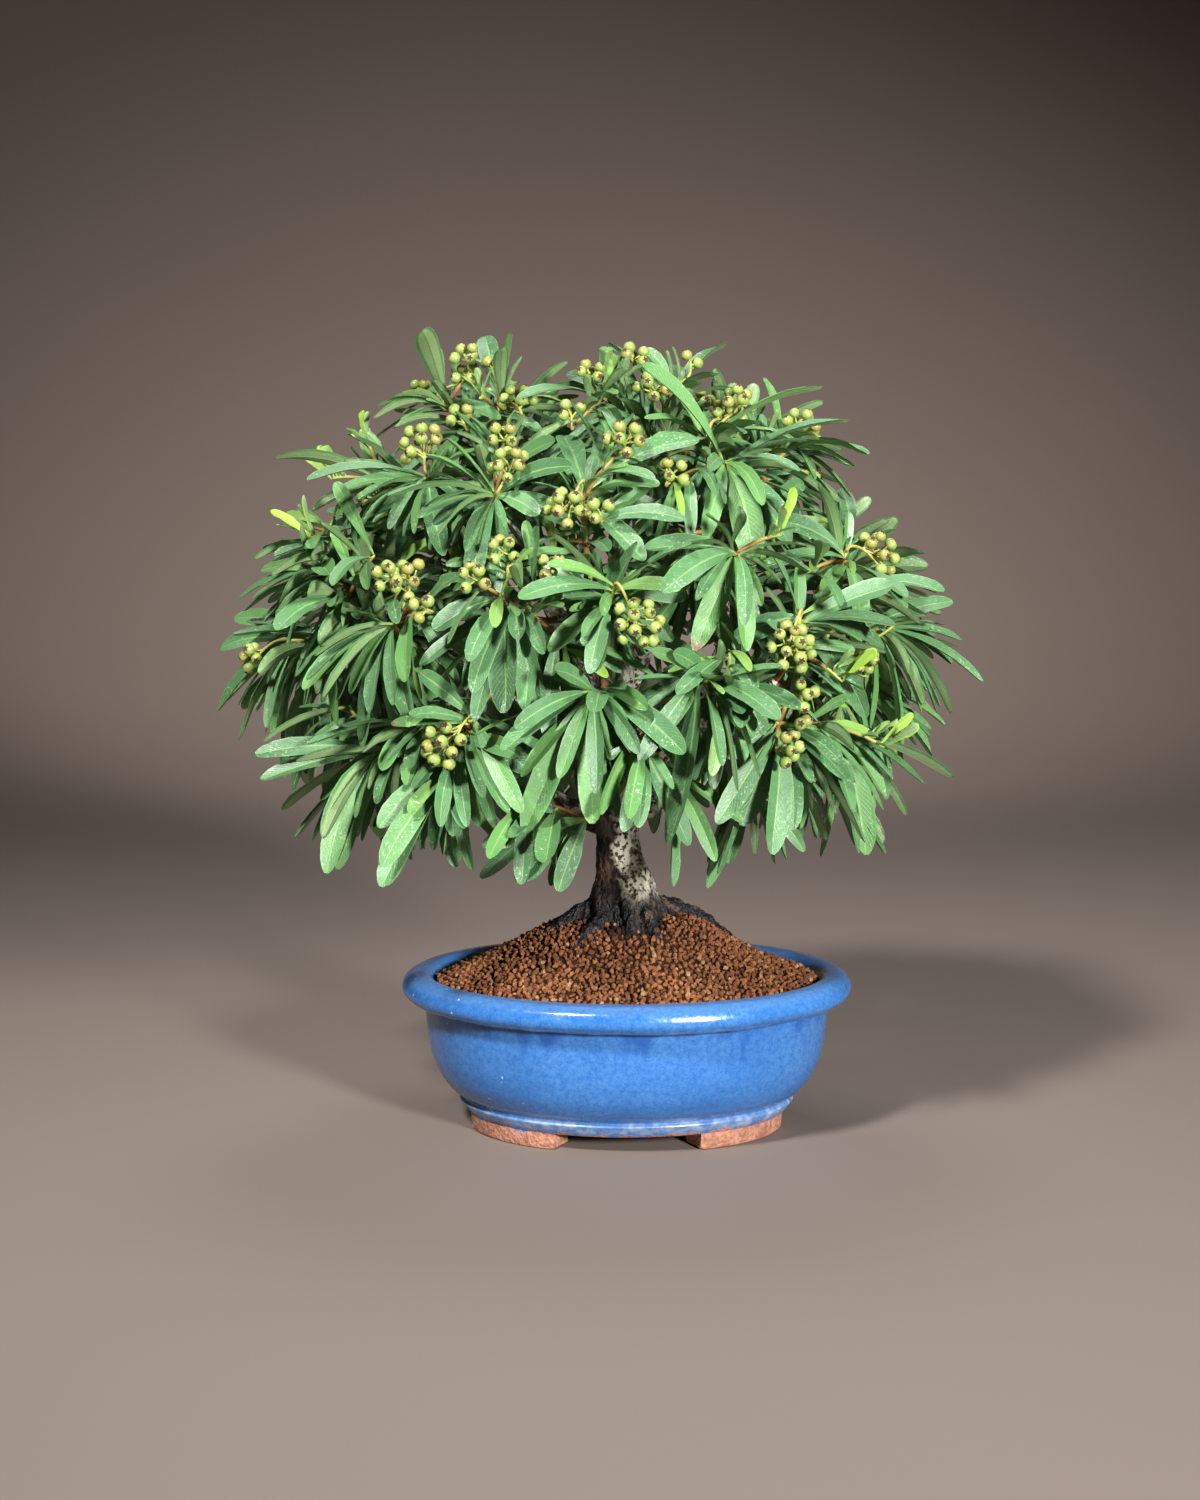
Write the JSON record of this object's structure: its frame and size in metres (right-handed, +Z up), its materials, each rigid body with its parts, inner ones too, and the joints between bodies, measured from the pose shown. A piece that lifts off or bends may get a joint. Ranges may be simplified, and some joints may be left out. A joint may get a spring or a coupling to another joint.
{
  "type": "firethorn bonsai",
  "caption": "Firethorn bonsai with a domed crown of narrow leaves and unripe berries, in an oval glazed pot on four feet.",
  "frame": {"origin": "middle of the object's box on the surface that the pot's feet stand on", "axes": "+Z up, +X to the right along the pot's length as seen from the front, +Y to the back"},
  "size_m": [0.3354, 0.2573, 0.3502],
  "materials": {
    "blue_glaze": "glossy mottled blue glaze over a pink-brown clay body, bare clay at the feet",
    "clay_grain": "matt baked clay grains, orange-brown with dark gaps",
    "drain_mesh": "matt dark plastic net",
    "bark": "rough dark bark with pale grey-green patches",
    "leaf": "satin dark green leaves with a pale midrib and paler undersides",
    "berry": "smooth unripe yellow-green berries with a dark calyx star"
  },
  "bodies": {
    "root": {"pot": "blue_glaze", "drain_mesh_left": "drain_mesh", "drain_mesh_right": "drain_mesh", "soil": "clay_grain", "trunk": "bark", "leafy_spray_01": "leaf", "leafy_spray_02": "leaf", "leafy_spray_03": "leaf", "leafy_spray_04": "leaf", "leafy_spray_05": "leaf", "leafy_spray_06": "leaf", "leafy_spray_07": "leaf", "leafy_spray_08": "leaf", "leafy_spray_09": "leaf", "leafy_spray_10": "leaf", "leafy_spray_11": "leaf", "leafy_spray_12": "leaf", "leafy_spray_13": "leaf", "leafy_spray_14": "leaf", "leafy_spray_15": "leaf", "leafy_spray_16": "leaf", "leafy_spray_17": "leaf", "leafy_spray_18": "leaf", "leafy_spray_19": "leaf", "leafy_spray_20": "leaf", "leafy_spray_21": "leaf", "leafy_spray_22": "leaf", "leafy_spray_23": "leaf", "leafy_spray_24": "leaf", "leafy_spray_25": "leaf", "leafy_spray_26": "leaf", "leafy_spray_27": "leaf", "leafy_spray_28": "leaf", "leafy_spray_29": "leaf", "leafy_spray_30": "leaf", "leafy_spray_31": "leaf", "leafy_spray_32": "leaf", "leafy_spray_33": "leaf", "leafy_spray_34": "leaf", "leafy_spray_35": "leaf", "berry_bunch_01": "berry", "berry_bunch_02": "berry", "berry_bunch_03": "berry", "berry_bunch_04": "berry", "berry_bunch_05": "berry", "berry_bunch_06": "berry", "berry_bunch_07": "berry", "berry_bunch_08": "berry", "berry_bunch_09": "berry", "berry_bunch_10": "berry", "berry_bunch_11": "berry", "berry_bunch_12": "berry", "berry_bunch_13": "berry", "berry_bunch_14": "berry", "berry_bunch_15": "berry", "berry_bunch_16": "berry", "berry_bunch_17": "berry", "berry_bunch_18": "berry", "berry_bunch_19": "berry", "berry_bunch_20": "berry"}
  },
  "joints": []
}
